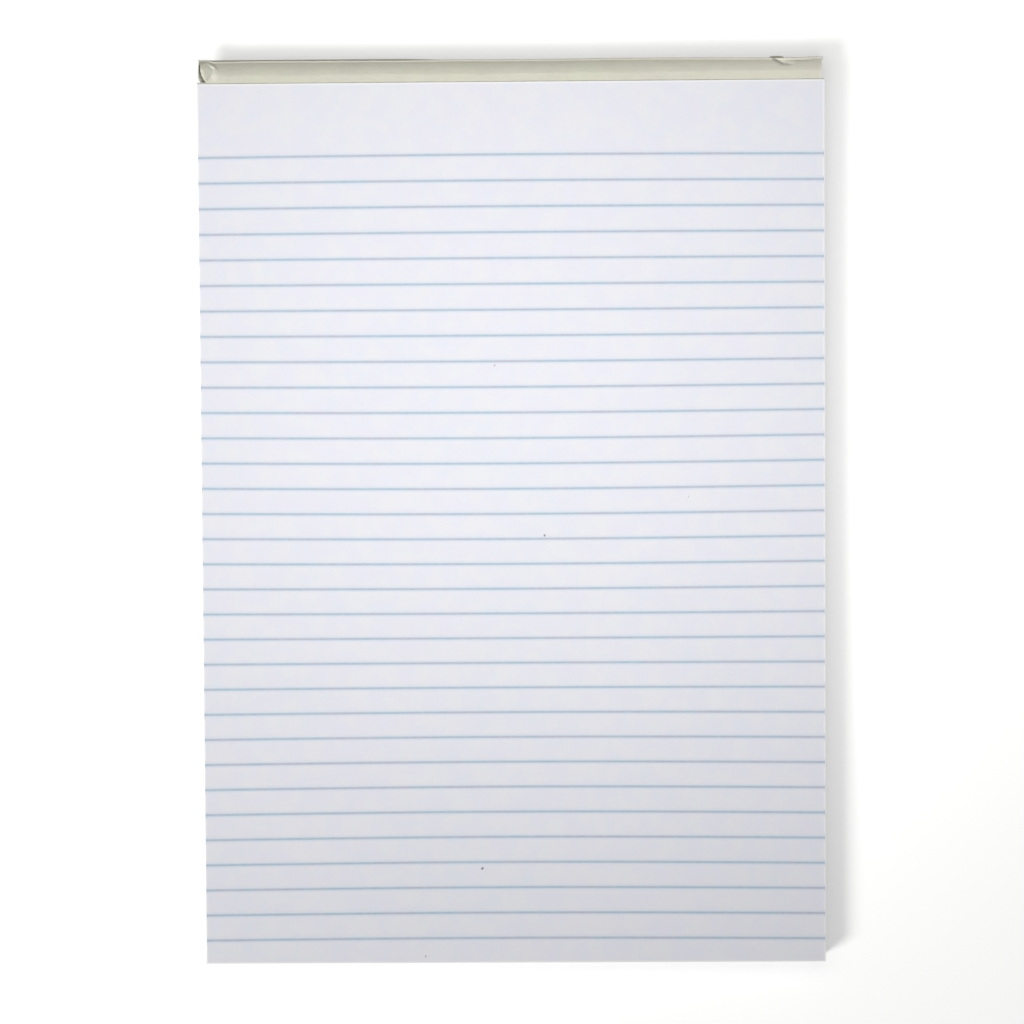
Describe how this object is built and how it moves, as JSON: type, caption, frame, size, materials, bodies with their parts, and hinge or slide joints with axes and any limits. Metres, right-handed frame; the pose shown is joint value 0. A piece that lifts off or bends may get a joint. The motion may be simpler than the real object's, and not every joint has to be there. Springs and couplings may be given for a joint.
{
  "type": "ruled writing pad",
  "caption": "Ruled writing pad lying flat, its block of leaves glued and bound along the head with a folded paper strip over a stiff chipboard back.",
  "frame": {"origin": "centre of the pad's outline, on the surface that it lies on", "axes": "+X across the page to the reader's right, +Y up the page to the bound head, +Z out of the page"},
  "size_m": [0.21, 0.3054, 0.0092],
  "materials": {
    "writing_paper": "smooth uncoated white writing paper",
    "ruling_ink": "pale blue ruling ink printed on paper",
    "strip_paper": "uncoated cream-grey binding paper",
    "chipboard": "rough grey chipboard",
    "padding_compound": "dried flexible glue, slightly glossy"
  },
  "bodies": {
    "root": {"ruled_sheets": "writing_paper", "ruled_lines": "ruling_ink", "binding_strip": "strip_paper", "backing_board": "chipboard", "head_glue": "padding_compound"}
  },
  "joints": []
}
